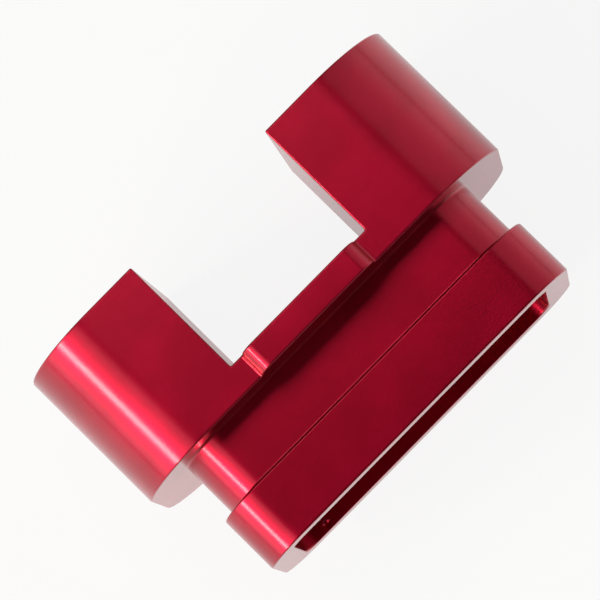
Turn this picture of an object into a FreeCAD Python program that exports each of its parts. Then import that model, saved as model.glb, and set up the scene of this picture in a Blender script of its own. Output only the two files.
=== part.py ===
"""Fork block, milled from one billet of aluminium and anodised: one solid.

Going down from its open end, the block has two lugs with a slot between
them, a thin bridge that joins the lugs and carries a raised pad, a ledge, a
neck, and a flange whose end face has an oblong blind pocket in it.

Frame, in millimetres: X runs along the width, Y along the block with +Y
towards the lug tips, and Z up through the thickness. The block lies on its
rear face, so the pad looks up, and the origin is at the bottom centre of its
bounding box.
"""

import FreeCAD
import Part

import math
import os

# ---- Body: the lugs, the slot between them and the bridge that joins them ---
BODY_WIDTH = 50.0
BODY_THICKNESS = 33.2
BODY_CORNER_RADIUS = 9.3
LUG_LENGTH = 14.1           # from the slot's floor to the lug tips
BRIDGE_HEIGHT = 3.0         # from the ledge to the slot's floor
SLOT_WIDTH = 19.0
SLOT_CORNER_RADIUS = 0.2

# ---- Pad on the front of the bridge -----------------------------------------
PAD_SHOULDER = 1.6          # bridge left bare on each side of the pad
PAD_RAISE = 2.0
PAD_EDGE_RADIUS = 1.65
PAD_FOOT_RADIUS = 0.3

# ---- Neck and flange --------------------------------------------------------
LEDGE_DEPTH = 4.95          # the neck is this far inside the body, all round
NECK_HEIGHT = 6.7
NECK_CORNER_RADIUS = 5.0
FLANGE_PROUD = 1.1          # the flange stands out from the neck, all round
FLANGE_HEIGHT = 6.8
FLANGE_CORNER_RADIUS = 5.0

# ---- Pocket in the end face of the flange -----------------------------------
RIM_WALL = 3.1
POCKET_DEPTH = 10.0
POCKET_CORNER_RADIUS = 1.9
POCKET_FLOOR_RADIUS = 0.5

# ---- Round dimple in the pocket's rear wall, beside the mouth ---------------
DIMPLE_DIAMETER = 0.95
DIMPLE_DEPTH = 0.25
DIMPLE_INSET = 0.75         # from the end face to the dimple's centre
DIMPLE_OFFSET = 14.5        # from the pocket's middle towards -X

# ---- Cutter marks -----------------------------------------------------------
ROOT_RADIUS = 0.25          # round in the neck's inner corners
EDGE_BREAK = 0.2            # chamfer on every outer edge

# ---- Heights along Y, from the end face to the lug tips ---------------------
BLOCK_LENGTH = FLANGE_HEIGHT + NECK_HEIGHT + BRIDGE_HEIGHT + LUG_LENGTH
END_FACE_Y = -BLOCK_LENGTH / 2
FLANGE_TOP_Y = END_FACE_Y + FLANGE_HEIGHT
LEDGE_Y = FLANGE_TOP_Y + NECK_HEIGHT
SLOT_FLOOR_Y = LEDGE_Y + BRIDGE_HEIGHT
TIP_Y = SLOT_FLOOR_Y + LUG_LENGTH

# ---- Sections that follow from the body's -----------------------------------
MIDDLE_Z = BODY_THICKNESS / 2
PAD_WIDTH = SLOT_WIDTH - 2 * PAD_SHOULDER
NECK_WIDTH = BODY_WIDTH - 2 * LEDGE_DEPTH
NECK_THICKNESS = BODY_THICKNESS - 2 * LEDGE_DEPTH
FLANGE_WIDTH = NECK_WIDTH + 2 * FLANGE_PROUD
FLANGE_THICKNESS = NECK_THICKNESS + 2 * FLANGE_PROUD
POCKET_WIDTH = FLANGE_WIDTH - 2 * RIM_WALL
POCKET_THICKNESS = FLANGE_THICKNESS - 2 * RIM_WALL

TOLERANCE = 1e-4
PROBE = 0.01                # how far beside an edge to look for metal
SMOOTH_ANGLE = 0.2          # radians; faces that meet at less than this are smooth


def point(x, y, z):
    return FreeCAD.Vector(x, y, z)


def arc(centre, radius, start, end):
    """Arc in the XZ plane, with its angles in degrees from +X towards +Z."""
    def at(angle):
        turn = math.radians(angle)
        return centre + point(radius * math.cos(turn), 0, radius * math.sin(turn))
    return Part.Arc(at(start), at((start + end) / 2), at(end)).toShape()


def joined(arcs):
    """Closed outline made of arcs, with a straight line wherever two don't touch."""
    edges = []
    for this, following in zip(arcs, arcs[1:] + arcs[:1]):
        start = this.valueAt(this.LastParameter)
        end = following.valueAt(following.FirstParameter)
        edges.append(this)
        if start.distanceToPoint(end) > TOLERANCE:
            edges.append(Part.makeLine(start, end))
    return Part.Wire(edges)


def prism(outline, height):
    """Solid on an outline in the XZ plane, extruded along +Y."""
    return Part.Face(outline).extrude(point(0, height, 0))


def rounded_block(width, thickness, radius, y, height):
    """Prism with a rounded rectangle as its section, centred in the body."""
    x = width / 2 - radius
    z = thickness / 2 - radius
    corners = ((x, z, 0), (-x, z, 90), (-x, -z, 180), (x, -z, 270))
    arcs = [arc(point(cx, y, MIDDLE_Z + cz), radius, start, start + 90)
            for cx, cz, start in corners]
    return prism(joined(arcs), height)


def tiers():
    """Body, neck and flange in one piece."""
    body = rounded_block(
        BODY_WIDTH, BODY_THICKNESS, BODY_CORNER_RADIUS, LEDGE_Y, BRIDGE_HEIGHT + LUG_LENGTH
    )
    neck = rounded_block(
        NECK_WIDTH, NECK_THICKNESS, NECK_CORNER_RADIUS, FLANGE_TOP_Y, NECK_HEIGHT
    )
    flange = rounded_block(
        FLANGE_WIDTH, FLANGE_THICKNESS, FLANGE_CORNER_RADIUS, END_FACE_Y, FLANGE_HEIGHT
    )
    return body.fuse([neck, flange])


def pad():
    """Pad across the bridge: rounded long edges, small fillets at its feet."""
    half = PAD_WIDTH / 2
    front = BODY_THICKNESS
    foot_x = half + PAD_FOOT_RADIUS
    foot_z = front + PAD_FOOT_RADIUS
    round_off = min(PAD_EDGE_RADIUS, PAD_RAISE - PAD_FOOT_RADIUS)
    top_x = half - round_off
    top_z = front + PAD_RAISE - round_off
    bounds = [
        arc(point(foot_x, LEDGE_Y, foot_z), PAD_FOOT_RADIUS, 270, 180),
        arc(point(top_x, LEDGE_Y, top_z), round_off, 0, 90),
        arc(point(-top_x, LEDGE_Y, top_z), round_off, 90, 180),
        arc(point(-foot_x, LEDGE_Y, foot_z), PAD_FOOT_RADIUS, 0, -90),
    ]
    root = Part.makeBox(
        2 * foot_x, BRIDGE_HEIGHT, PAD_RAISE, point(-foot_x, LEDGE_Y, front - PAD_RAISE)
    )
    return root.fuse(prism(joined(bounds), BRIDGE_HEIGHT))


def slot():
    """Cutter for the slot between the lugs, with rounded inner corners."""
    past = BODY_THICKNESS
    corner = point(-SLOT_WIDTH / 2, SLOT_FLOOR_Y, -past)
    cutter = Part.makeBox(SLOT_WIDTH, LUG_LENGTH + past, BODY_THICKNESS + 2 * past, corner)
    upright = [edge for edge in edges_at(cutter, SLOT_FLOOR_Y) if edge.BoundBox.ZLength > past]
    return cutter.makeFillet(SLOT_CORNER_RADIUS, upright)


def pocket():
    """Cutter for the blind pocket, rounded where its wall meets its floor."""
    cutter = rounded_block(
        POCKET_WIDTH, POCKET_THICKNESS, POCKET_CORNER_RADIUS, END_FACE_Y, POCKET_DEPTH
    )
    return cutter.makeFillet(POCKET_FLOOR_RADIUS, edges_at(cutter, END_FACE_Y + POCKET_DEPTH))


def dimple():
    """Ball that leaves a shallow round dimple in the pocket's rear wall."""
    radius = (DIMPLE_DIAMETER ** 2 / 4 + DIMPLE_DEPTH ** 2) / (2 * DIMPLE_DEPTH)
    wall_z = MIDDLE_Z - POCKET_THICKNESS / 2
    centre_z = wall_z - DIMPLE_DEPTH + radius
    return Part.makeSphere(radius, point(-DIMPLE_OFFSET, END_FACE_Y + DIMPLE_INSET, centre_z))


def edges_at(shape, y):
    """Edges that lie wholly in the plane of one Y."""
    def lies_flat(edge):
        return max(abs(edge.BoundBox.YMin - y), abs(edge.BoundBox.YMax - y)) < TOLERANCE
    return [edge for edge in shape.Edges if lies_flat(edge)]


def outward_normal(face, where):
    u, v = face.Surface.parameter(where)
    return face.normalAt(u, v)


def sharp_edges(shape):
    """Sort the edges that aren't smooth into outer ones and inner ones."""
    outer = []
    inner = []
    for edge in shape.Edges:
        middle = edge.valueAt((edge.FirstParameter + edge.LastParameter) / 2)
        faces = shape.ancestorsOfType(edge, Part.Face)
        normals = [outward_normal(face, middle) for face in faces]
        if len(normals) < 2 or normals[0].getAngle(normals[1]) < SMOOTH_ANGLE:
            continue
        beside = middle + (normals[0] - normals[1]) * PROBE
        side = inner if shape.isInside(beside, TOLERANCE, True) else outer
        side.append(edge)
    return outer, inner


def fork_block():
    """Mill the tiers, slot and pad with rounded roots, then sink the pocket and deburr."""
    milled = tiers().cut(slot()).fuse(pad()).removeSplitter()
    roots = sharp_edges(milled)[1]
    pocketed = milled.makeFillet(ROOT_RADIUS, roots).cut(pocket())
    edges = sharp_edges(pocketed)[0]
    deburred = pocketed.makeChamfer(EDGE_BREAK, edges)
    return deburred.cut(dimple()).Solids[0]


block = fork_block()
os.makedirs("parts", exist_ok=True)
block.exportStep("parts/fork_block.step")
box = block.optimalBoundingBox(False, False)
print(f"fork_block: {box.XLength:.3f} x {box.YLength:.3f} x {box.ZLength:.3f} mm, "
      f"{block.Volume:.0f} mm3, valid {block.isValid()}")
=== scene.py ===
# %% [markdown]
# # A machined fork block in red anodised aluminium
#
# The real object is one piece: a billet that was milled to shape, deburred, blasted with
# fine beads, dyed red and anodised. This lesson rebuilds its surface in Blender around the
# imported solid, gives it its finish, and sets it on a pale floor in soft studio light.
# Each step says what the feature is on the real block and why it is made the way it is.

import math

import bmesh
import bpy
from mathutils import Matrix, Vector


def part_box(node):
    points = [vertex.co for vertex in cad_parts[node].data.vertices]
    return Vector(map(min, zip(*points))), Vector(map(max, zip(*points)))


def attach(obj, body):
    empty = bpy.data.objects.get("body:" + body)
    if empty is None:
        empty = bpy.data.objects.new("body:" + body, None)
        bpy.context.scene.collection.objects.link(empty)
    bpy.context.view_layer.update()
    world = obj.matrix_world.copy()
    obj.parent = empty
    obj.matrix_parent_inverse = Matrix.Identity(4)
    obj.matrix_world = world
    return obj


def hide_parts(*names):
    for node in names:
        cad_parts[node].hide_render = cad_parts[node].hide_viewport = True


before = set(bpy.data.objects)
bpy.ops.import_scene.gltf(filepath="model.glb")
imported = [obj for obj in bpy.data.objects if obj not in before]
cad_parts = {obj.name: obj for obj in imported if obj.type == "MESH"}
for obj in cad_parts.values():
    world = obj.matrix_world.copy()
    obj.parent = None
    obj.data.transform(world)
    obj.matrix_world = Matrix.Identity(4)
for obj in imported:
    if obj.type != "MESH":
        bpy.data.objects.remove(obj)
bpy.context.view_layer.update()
low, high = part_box("fork_block")
print("the packed block spans", [round(side * 1000, 2) for side in high - low], "mm")

# %% [markdown]
# ## Sizes
#
# Everything is in metres and in the block's own frame: X along the width, Y towards the lug
# tips, Z out of the front face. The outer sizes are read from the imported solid, so the
# surface can't drift away from it. The sizes of each feature are named once here.

# %% Sizes of the block
MM = 0.001
BODY_WIDTH = high.x - low.x
PAD_RAISE = 2.0 * MM
BODY_THICKNESS = high.z - low.z - PAD_RAISE
BODY_RADIUS = 9.3 * MM
SLOT_WIDTH = 19.0 * MM
SLOT_RADIUS = 0.2 * MM
PAD_WIDTH = 15.8 * MM
PAD_RADIUS = 1.65 * MM
PAD_FOOT = 0.3 * MM
BRIDGE_HEIGHT = 3.0 * MM
LEDGE_DEPTH = 4.95 * MM
NECK_HEIGHT = 6.7 * MM
NECK_RADIUS = 5.0 * MM
FLANGE_HEIGHT = 6.8 * MM
FLANGE_PROUD = 1.1 * MM
RIM_WALL = 3.1 * MM
POCKET_DEPTH = 10.0 * MM
POCKET_RADIUS = 1.9 * MM
POCKET_FLOOR_ROUND = 0.5 * MM
ROOT_ROUND = 0.25 * MM
EDGE_BREAK = 0.2 * MM

END_FACE = low.y
FLANGE_TOP = END_FACE + FLANGE_HEIGHT
LEDGE = FLANGE_TOP + NECK_HEIGHT
SLOT_FLOOR = LEDGE + BRIDGE_HEIGHT
TIP = high.y
MIDDLE = BODY_THICKNESS / 2
print("lugs", round((TIP - SLOT_FLOOR) / MM, 2), "mm long")

# %% [markdown]
# ## Outlines and prisms
#
# A milled block is flat faces and cutter radii, so it is built the way it is machined:
# outlines are drawn with lines and arcs and pushed into prisms, prisms are joined or cut
# from each other, and the edges are worked last. The corners could be left to a Bevel
# modifier, but an outline that already holds its arcs gives even strips round every corner
# and keeps the same spacing on the body, the neck and the flange.

# %% Outlines and prisms
CORNER_STEPS = 24           # straight strips round each quarter turn of the outer corners


def arc(centre, radius, start, end, steps):
    """Points along an arc in a plane, with its angles in degrees."""
    angles = [math.radians(start + (end - start) * step / steps) for step in range(steps + 1)]
    return [
        (centre[0] + radius * math.cos(angle), centre[1] + radius * math.sin(angle))
        for angle in angles
    ]


def rounded_rectangle(width, thickness, radius, steps=CORNER_STEPS):
    """Outline in X and Z, centred in the body."""
    x = width / 2 - radius
    z = thickness / 2 - radius
    points = []
    for side, up, start in ((x, z, 0), (-x, z, 90), (-x, -z, 180), (x, -z, 270)):
        points += arc((side, MIDDLE + up), radius, start, start + 90, steps)
    return points


def prism(points, push):
    """A flat outline pushed along a vector into a closed solid."""
    mesh = bmesh.new()
    face = mesh.faces.new([mesh.verts.new(point) for point in points])
    pushed = bmesh.ops.extrude_face_region(mesh, geom=[face])["geom"]
    moved = [part for part in pushed if isinstance(part, bmesh.types.BMVert)]
    bmesh.ops.translate(mesh, verts=moved, vec=push)
    bmesh.ops.recalc_face_normals(mesh, faces=mesh.faces)
    return mesh


def tier(outline, bottom, top):
    """A prism along Y on an outline in X and Z."""
    return prism([(x, bottom, z) for x, z in outline], (0, top - bottom, 0))


def placed(name, mesh):
    """Put a mesh from bmesh into the scene as an object."""
    data = bpy.data.meshes.new(name)
    mesh.to_mesh(data)
    mesh.free()
    piece = bpy.data.objects.new(name, data)
    bpy.context.scene.collection.objects.link(piece)
    return piece


def evaluated(piece):
    """Replace a piece's mesh with what its modifiers make of it."""
    graph = bpy.context.evaluated_depsgraph_get()
    result = bpy.data.meshes.new_from_object(piece.evaluated_get(graph))
    piece.modifiers.clear()
    piece.data = result


def combine(piece, other, operation):
    """Join a tool to a piece, or cut the piece with it, and throw the tool away."""
    modifier = piece.modifiers.new(operation, "BOOLEAN")
    modifier.operation = operation
    modifier.solver = "EXACT"
    modifier.object = other
    evaluated(piece)
    bpy.data.objects.remove(other)


# %% [markdown]
# ## Milling the block
#
# The body is one rounded bar, and the slot is cut through it from the lug end, with the
# small round that an end mill leaves in each inner corner. The neck and the flange are
# smaller rounded bars that reach a little way into what they join, because solids that
# only touch don't fuse cleanly. The pad is drawn in profile, with rounded long edges and
# small rounds at its feet. A displaced grid could fake the pad, but a union keeps its feet
# crisp and lets the edge rounds run over it like over the rest.

# %% Body, slot and pad
OVERLAP = 1 * MM            # how far a tool reaches past the face that it works on
SLOT_STEPS = 6
FOOT_STEPS = 5
PAD_STEPS = 12


def slot_cutter():
    """The space between the lugs, taken well past the faces that it cuts through."""
    x = SLOT_WIDTH / 2 - SLOT_RADIUS
    y = SLOT_FLOOR + SLOT_RADIUS
    past = TIP + OVERLAP
    points = [(-SLOT_WIDTH / 2, past)]
    points += arc((-x, y), SLOT_RADIUS, 180, 270, SLOT_STEPS)
    points += arc((x, y), SLOT_RADIUS, 270, 360, SLOT_STEPS)
    points += [(SLOT_WIDTH / 2, past)]
    back = low.z - OVERLAP
    return prism([(px, py, back) for px, py in points], (0, 0, BODY_THICKNESS + 2 * OVERLAP))


def pad_solid():
    """The raised pad across the front of the bridge."""
    half = PAD_WIDTH / 2
    front = BODY_THICKNESS
    side = half - PAD_RADIUS
    top = front + PAD_RAISE - PAD_RADIUS
    foot = half + PAD_FOOT
    outline = [(foot, front - OVERLAP)]
    outline += arc((foot, front + PAD_FOOT), PAD_FOOT, 270, 180, FOOT_STEPS)
    outline += arc((side, top), PAD_RADIUS, 0, 90, PAD_STEPS)
    outline += arc((-side, top), PAD_RADIUS, 90, 180, PAD_STEPS)
    outline += arc((-foot, front + PAD_FOOT), PAD_FOOT, 0, -90, FOOT_STEPS)
    outline += [(-foot, front - OVERLAP)]
    return tier(outline, LEDGE, SLOT_FLOOR)


body = rounded_rectangle(BODY_WIDTH, BODY_THICKNESS, BODY_RADIUS)
block = placed("block", tier(body, LEDGE, TIP))
combine(block, placed("slot", slot_cutter()), "DIFFERENCE")
combine(block, placed("pad", pad_solid()), "UNION")
print("body with slot and pad:", len(block.data.polygons), "faces")

# %% [markdown]
# ## Neck, flange and pocket
#
# The neck is what is left after a shallow ledge is milled all round under the lugs, and the
# flange below it stands a little proud again. Both are worked out from the body, so the ledge
# stays even. The pocket is cut with a tool that already has the round of its floor, which is
# simpler than finding that edge again deep inside the finished block.

# %% Neck, flange and pocket
POCKET_STEPS = 12
POCKET_FLOOR_STEPS = 6
SAME_PLACE = 1e-6           # metres; nearer than this is the same plane
neck_width = BODY_WIDTH - 2 * LEDGE_DEPTH
neck_thickness = BODY_THICKNESS - 2 * LEDGE_DEPTH
flange_width = neck_width + 2 * FLANGE_PROUD
flange_thickness = neck_thickness + 2 * FLANGE_PROUD
pocket_width = flange_width - 2 * RIM_WALL
pocket_thickness = flange_thickness - 2 * RIM_WALL


def pocket_cutter():
    """The blind pocket, with a round where its walls meet its floor."""
    floor = END_FACE + POCKET_DEPTH
    outline = rounded_rectangle(pocket_width, pocket_thickness, POCKET_RADIUS, POCKET_STEPS)
    mesh = tier(outline, END_FACE - OVERLAP, floor)
    rim = [
        edge for edge in mesh.edges
        if all(abs(vert.co.y - floor) < SAME_PLACE for vert in edge.verts)
    ]
    bmesh.ops.bevel(
        mesh, geom=rim, offset=POCKET_FLOOR_ROUND, offset_type="OFFSET",
        segments=POCKET_FLOOR_STEPS, profile=0.5, affect="EDGES", clamp_overlap=False,
    )
    return mesh


neck = rounded_rectangle(neck_width, neck_thickness, NECK_RADIUS)
flange = rounded_rectangle(flange_width, flange_thickness, NECK_RADIUS)
combine(block, placed("neck", tier(neck, FLANGE_TOP - OVERLAP, LEDGE + OVERLAP)), "UNION")
combine(block, placed("flange", tier(flange, END_FACE, FLANGE_TOP)), "UNION")
combine(block, placed("pocket", pocket_cutter()), "DIFFERENCE")
print("with neck, flange and pocket:", len(block.data.polygons), "faces")

# %% [markdown]
# ## Roots and broken edges
#
# No machined edge is truly sharp: the cutter leaves a small round in each inner corner, and
# every outer edge is broken when the part is deburred. Those narrow rounds catch the light
# as the thin bright lines that make metal look machined, so they are real geometry here.
# bmesh can tell the two kinds of edge apart by the sign of the angle between the faces.
# The inner rounds come first, so that the outer ones can run into them.

# %% Round the roots and break the edges
SHARP = math.radians(25)    # faces that turn more than this meet at an edge to be worked
FLAT = math.radians(0.5)    # faces that turn less than this are merged into one
ROUND_STEPS = 4


def round_edges(mesh, sign, radius):
    """Round the sharp edges that bulge out (sign 1) or sink in (sign -1)."""
    edges = [edge for edge in mesh.edges if sign * edge.calc_face_angle_signed(0) > SHARP]
    bmesh.ops.bevel(
        mesh, geom=edges, offset=radius, offset_type="OFFSET", segments=ROUND_STEPS, profile=0.5,
        affect="EDGES", clamp_overlap=False, loop_slide=False,
    )


mesh = bmesh.new()
mesh.from_mesh(block.data)
bmesh.ops.dissolve_limit(mesh, angle_limit=FLAT, verts=mesh.verts, edges=mesh.edges)
round_edges(mesh, -1, ROOT_ROUND)
round_edges(mesh, 1, EDGE_BREAK)
print("with rounded edges:", len(mesh.verts), "vertices")
mesh.to_mesh(block.data)
mesh.free()

# %% [markdown]
# ## The dimple and the shading
#
# A small round dimple sits in the pocket's rear wall, next to the mouth. It is cut last with
# a ball, because its shallow rim stays sharp. Then the faces are shaded smooth, and the
# Weighted Normal modifier lets the big flat faces keep their own direction, so that only
# the narrow rounds bend the light.

# %% Cut the dimple and set the shading
DIMPLE_WIDTH = 0.95 * MM
DIMPLE_DEPTH = 0.25 * MM
DIMPLE_PLACE = (-14.5 * MM, END_FACE + 0.75 * MM)
BALL_SUBDIVISIONS = 4
ball_radius = (DIMPLE_WIDTH ** 2 / 4 + DIMPLE_DEPTH ** 2) / (2 * DIMPLE_DEPTH)
rear_wall = MIDDLE - pocket_thickness / 2
ball = bmesh.new()
bmesh.ops.create_icosphere(ball, subdivisions=BALL_SUBDIVISIONS, radius=ball_radius)
centre = Vector((*DIMPLE_PLACE, rear_wall - DIMPLE_DEPTH + ball_radius))
bmesh.ops.translate(ball, verts=ball.verts, vec=centre)
combine(block, placed("ball", ball), "DIFFERENCE")
for face in block.data.polygons:
    face.use_smooth = True
weighted = block.modifiers.new("weighted", "WEIGHTED_NORMAL")
weighted.keep_sharp = True
evaluated(block)
block.name = "anodised_block"
counts = len(block.data.vertices), len(block.data.polygons)
print("finished surface: %d vertices, %d faces" % counts)

# %% [markdown]
# ## Shader arithmetic
#
# A finish is mostly arithmetic on patterns. Wiring Math nodes by hand hides the formula, so
# a small class wraps one output socket and turns * into a node, on either side of it.
# Numbers go through a Math node and vectors through Vector Math. Colours go through Mix,
# because a Math node would turn a colour grey.

# %% A socket that can be used in sums
class Wire:
    """One output socket of a shader node."""

    def __init__(self, tree, socket):
        self.tree = tree
        self.socket = socket

    def node(self, kind, settings=None, inputs=None, output=0):
        """Add a node: its settings first, then its sockets, linked or set."""
        made = self.tree.nodes.new(kind)
        for name, value in (settings or {}).items():
            setattr(made, name, value)
        for name, value in (inputs or {}).items():
            if isinstance(value, Wire):
                self.tree.links.new(value.socket, made.inputs[name])
            else:
                made.inputs[name].default_value = value
        return Wire(self.tree, made.outputs[output])

    def math(self, operation, first, second):
        return self.node("ShaderNodeMath", {"operation": operation}, {0: first, 1: second})

    def vector_math(self, operation, first, second):
        return self.node("ShaderNodeVectorMath", {"operation": operation}, {0: first, 1: second})

    def __mul__(self, other):
        combined = self.vector_math if self.socket.type == "VECTOR" else self.math
        return combined("MULTIPLY", self, other)

    def __rmul__(self, other):
        return self * other

    def at_least(self, other):
        """The larger of this value and another."""
        return self.math("MAXIMUM", self, other)

    def ramp(self, start, end, low=0.0, high=1.0):
        """Smooth step from low to high as the value goes from start to end."""
        ends = {"From Min": start, "From Max": end, "To Min": low, "To Max": high}
        return self.node(
            "ShaderNodeMapRange", {"interpolation_type": "SMOOTHSTEP"}, {"Value": self, **ends}, "Result",
        )

    def mixed(self, first, second):
        """Colour that goes from first to second as this value goes from 0 to 1."""
        return self.node(
            "ShaderNodeMix", {"data_type": "RGBA"}, {0: self, 6: first, 7: second}, 2,
        )


def shader_tree(name):
    """A new material and the wire that starts its tree, without any nodes."""
    material = bpy.data.materials.new(name)
    material.use_nodes = True
    material.node_tree.nodes.clear()
    return material, Wire(material.node_tree, None)


def set_output(start, shader, kind="ShaderNodeOutputMaterial"):
    """Link a finished shader to the output node of its tree."""
    output = start.tree.nodes.new(kind)
    start.tree.links.new(shader.socket, output.inputs["Surface"])


# %% [markdown]
# ## The anodised finish
#
# Anodising grows a clear, hard oxide on the aluminium and dye fills its pores, so light goes
# through red on its way to the metal and again on its way back. It could be made as glass
# with red inside it, but so thin a layer shows no depth. So the metal itself is coloured, and the
# clear oxide is a coat over it that mirrors white light. The coat is weaker seen face on and
# full at a grazing angle, which is why the faces that look away turn pale. Bead blasting
# leaves a fine grain, made as a slight bump, and the dye takes a little unevenly, made as
# broad clouds between two close reds.

# %% Red anodised aluminium
TO_MILLIMETRES = (1000, 1000, 1000)
GRAIN_PER_MM = 5.0
CLOUDS_PER_MM = 0.16
GRAIN_HEIGHT = 0.1 * MM
DARK_RED = (0.46, 0.0015, 0.024, 1)
LIGHT_RED = (0.54, 0.002, 0.030, 1)


def noise(place, per_mm, detail):
    """Soft random values, with about so many lumps to a millimetre."""
    return place.node("ShaderNodeTexNoise", {}, {"Vector": place, "Scale": per_mm, "Detail": detail})


def red_anodised():
    """Dyed oxide over bead-blasted aluminium."""
    material, start = shader_tree("red_anodised")
    place = start.node("ShaderNodeTexCoord", output="Object") * TO_MILLIMETRES
    grain = noise(place, GRAIN_PER_MM, 2.0)
    clouds = noise(place, CLOUDS_PER_MM, 4.0)
    relief = {"Height": grain, "Strength": 0.1, "Distance": GRAIN_HEIGHT}
    normal = start.node("ShaderNodeBump", {}, relief)
    colour = clouds.ramp(0.35, 0.65).mixed(DARK_RED, LIGHT_RED)
    facing = start.node("ShaderNodeLayerWeight", {}, {"Blend": 0.5}, "Facing")
    shader = start.node("ShaderNodeBsdfPrincipled", {}, {
        "Base Color": colour,
        "Metallic": 1.0,
        "Roughness": 0.34,
        "Coat Weight": facing.ramp(0.0, 0.45, 0.35, 1.0),
        "Coat Roughness": 0.19,
        "Coat IOR": 1.6,
        "Normal": normal,
    })
    set_output(start, shader)
    return material


block.data.materials.clear()
block.data.materials.append(red_anodised())
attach(block, "root")
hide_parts("fork_block")
print("the surface rides on root and stands for fork_block")

# %% [markdown]
# ## Floor
#
# The block lies on a white sweep in a light tent, where the floor is nearly as bright as the
# paper behind it. More light would also bleach the block, so the floor brings its own white:
# seen by the camera it is mostly an even glow with a little lit surface in it, which carries
# the soft shadow. The block's reflections see half of that glow, and everything else sees
# plain matt white.

# %% Floor
FLOOR_HALF = 3.0
SEEN_WHITE = 0.88           # share of even glow in what the camera sees
MIRRORED_WHITE = 0.5        # share of it in what the metal mirrors


def pale_floor():
    """Matt white with an even glow for the camera and for mirrored rays."""
    material, start = shader_tree("pale_floor")
    lit = start.node("ShaderNodeBsdfDiffuse", {}, {"Color": (0.95, 0.95, 0.95, 1)})
    white = start.node("ShaderNodeEmission", {}, {"Color": (1, 1, 1, 1), "Strength": 1.0})
    camera = start.node("ShaderNodeLightPath", output="Is Camera Ray")
    glossy = start.node("ShaderNodeLightPath", output="Is Glossy Ray")
    share = (SEEN_WHITE * camera).at_least(MIRRORED_WHITE * glossy)
    shader = start.node("ShaderNodeMixShader", {}, {0: share, 1: lit, 2: white})
    set_output(start, shader)
    return material


mesh = bmesh.new()
bmesh.ops.create_grid(mesh, x_segments=1, y_segments=1, size=FLOOR_HALF)
floor = placed("floor", mesh)
floor.data.materials.append(pale_floor())
print("floor", 2 * FLOOR_HALF, "m wide")

# %% [markdown]
# ## Light
#
# Metal shows what is around it more than it shows light, so each lamp is a panel that fills
# one band of the sky, and what counts is how bright that band looks. A narrow warm strip on
# the left makes the hot line along the rounded corners. Broad dim panels on both sides keep
# the walls from going black, and one over the lug end lights the flat front faces. Lamps could
# be given in watts, but the look then changes with every change of size, so the watts are
# worked out from brightness and area. The tent's faint glow is brightest at the horizon.

# %% Lamps and world
LAMP_DISTANCE = 0.8
HORIZON = math.cos(math.radians(88))
SHOULDER = math.cos(math.radians(50))
HORIZON_GLOW = 0.25
UPPER_GLOW = 0.02


def panel(name, azimuth, tilt_from, tilt_to, length, radiance, colour=(1, 1, 1)):
    """An area lamp, given by the band of sky that it fills and how bright that band looks."""
    middle = math.radians((tilt_from + tilt_to) / 2)
    turn = math.radians(azimuth)
    width = 2 * LAMP_DISTANCE * math.tan(math.radians(tilt_to - tilt_from) / 2)
    reach = math.sin(middle)
    outward = Vector((math.cos(turn) * reach, math.sin(turn) * reach, math.cos(middle)))
    along = Vector((-math.sin(turn), math.cos(turn), 0))
    data = bpy.data.lights.new(name, "AREA")
    data.shape = "RECTANGLE"
    data.size = width
    data.size_y = length
    data.energy = 4 * radiance * width * length
    data.color = colour
    lamp = bpy.data.objects.new(name, data)
    axes = Matrix((along.cross(outward), along, outward)).transposed().to_4x4()
    centre = Vector((0, 0, MIDDLE)) + LAMP_DISTANCE * outward
    lamp.matrix_world = Matrix.Translation(centre) @ axes
    lamp.visible_camera = False
    bpy.context.scene.collection.objects.link(lamp)
    print(name, "fills", tilt_to - tilt_from, "degrees at", round(data.energy, 1), "W")


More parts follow.
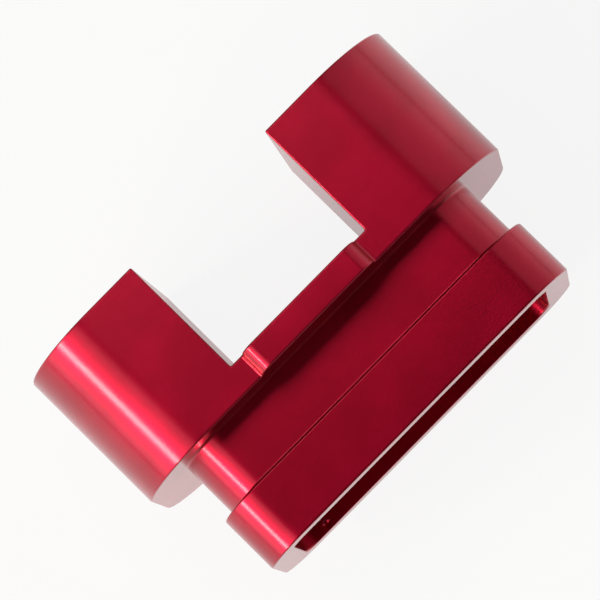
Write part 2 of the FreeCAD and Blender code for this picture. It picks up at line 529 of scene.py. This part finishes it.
panel("strip", 180, 54.0, 58.5, 0.6, 27.0, (1, 0.93, 0.84))
panel("left shoulder", 180, 24.0, 46.0, 0.6, 1.1)
panel("left wall", 180, 66.0, 86.0, 0.8, 1.05, (0.95, 0.95, 1))
panel("right wall", 0, 24.0, 86.0, 0.8, 0.45, (0.97, 0.95, 1))
panel("overhead", 90, 12.5, 32.0, 0.45, 2.0)

world = bpy.data.worlds.new("tent")
bpy.context.scene.world = world
world.use_nodes = True
world.node_tree.nodes.clear()
start = Wire(world.node_tree, None)
direction = start.node("ShaderNodeTexCoord", output="Generated")
height = start.node("ShaderNodeSeparateXYZ", {}, {0: direction}, 2)
glow = height.ramp(HORIZON, SHOULDER, HORIZON_GLOW, UPPER_GLOW)
background = start.node("ShaderNodeBackground", {}, {"Color": (1, 1, 1, 1), "Strength": glow})
set_output(start, background, "ShaderNodeOutputWorld")

# %% [markdown]
# ## Camera
#
# The camera looks almost straight down on the front face, and is turned so that the block
# lies diagonally across the picture. Tilting it a little towards the flange end is what
# shows the rim of the pocket and the underside of the ledge. The lens follows from the
# distance and from the width that has to fit, so either can be changed alone.

# %% Camera
DISTANCE = 454.4 * MM
ELEVATION = math.radians(83.32)
YAW = math.radians(0.42)
TURN = math.radians(45.49)
VIEW_WIDTH = 61.71 * MM
SENSOR_WIDTH = 36
AIM = Vector((0.14 * MM, 2.80 * MM, MIDDLE + 0.33 * MM))

across = Vector((math.cos(YAW), 0, math.sin(YAW)))
rise = math.sin(ELEVATION)
back = Vector((-math.sin(YAW) * rise, -math.cos(ELEVATION), math.cos(YAW) * rise))
upward = back.cross(across)
right = across * math.cos(TURN) - upward * math.sin(TURN)
up = across * math.sin(TURN) + upward * math.cos(TURN)
camera_data = bpy.data.cameras.new("camera")
camera_data.sensor_width = SENSOR_WIDTH
camera_data.lens = SENSOR_WIDTH * DISTANCE / VIEW_WIDTH
camera_data.clip_start = 0.01
camera = bpy.data.objects.new("camera", camera_data)
axes = Matrix((right, up, back)).transposed().to_4x4()
camera.matrix_world = Matrix.Translation(AIM + DISTANCE * back) @ axes
bpy.context.scene.collection.objects.link(camera)
bpy.context.scene.camera = camera
bpy.context.scene.view_settings.view_transform = "Standard"
print("lens", round(camera_data.lens, 1), "mm")
